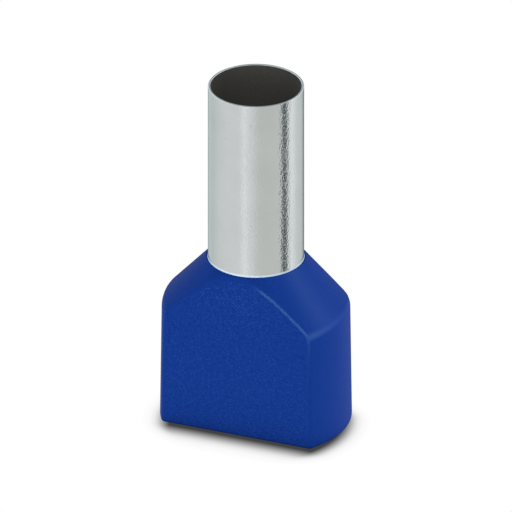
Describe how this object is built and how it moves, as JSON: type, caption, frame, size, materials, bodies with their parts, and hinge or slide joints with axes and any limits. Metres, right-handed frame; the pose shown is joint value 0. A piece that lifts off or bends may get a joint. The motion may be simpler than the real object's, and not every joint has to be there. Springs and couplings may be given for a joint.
{
  "type": "wire end sleeve",
  "caption": "Insulated twin wire end sleeve: a bare tinned tube gripped by a hollow plastic collar whose oval entry funnels side-by-side wires into it.",
  "frame": {"origin": "middle of the collar's open end, on the surface that the sleeve stands on", "axes": "+Z along the tube, from the collar's open end to the tube's bare end; X along the wide way of the collar, where the wires lie side by side; Y through its thickness, square to the two flat faces"},
  "size_m": [0.014, 0.0078, 0.027],
  "materials": {
    "tinned_copper": "satin",
    "blue_plastic": "matte"
  },
  "bodies": {
    "root": {"metal_tube": "tinned_copper", "plastic_collar": "blue_plastic"}
  },
  "joints": []
}
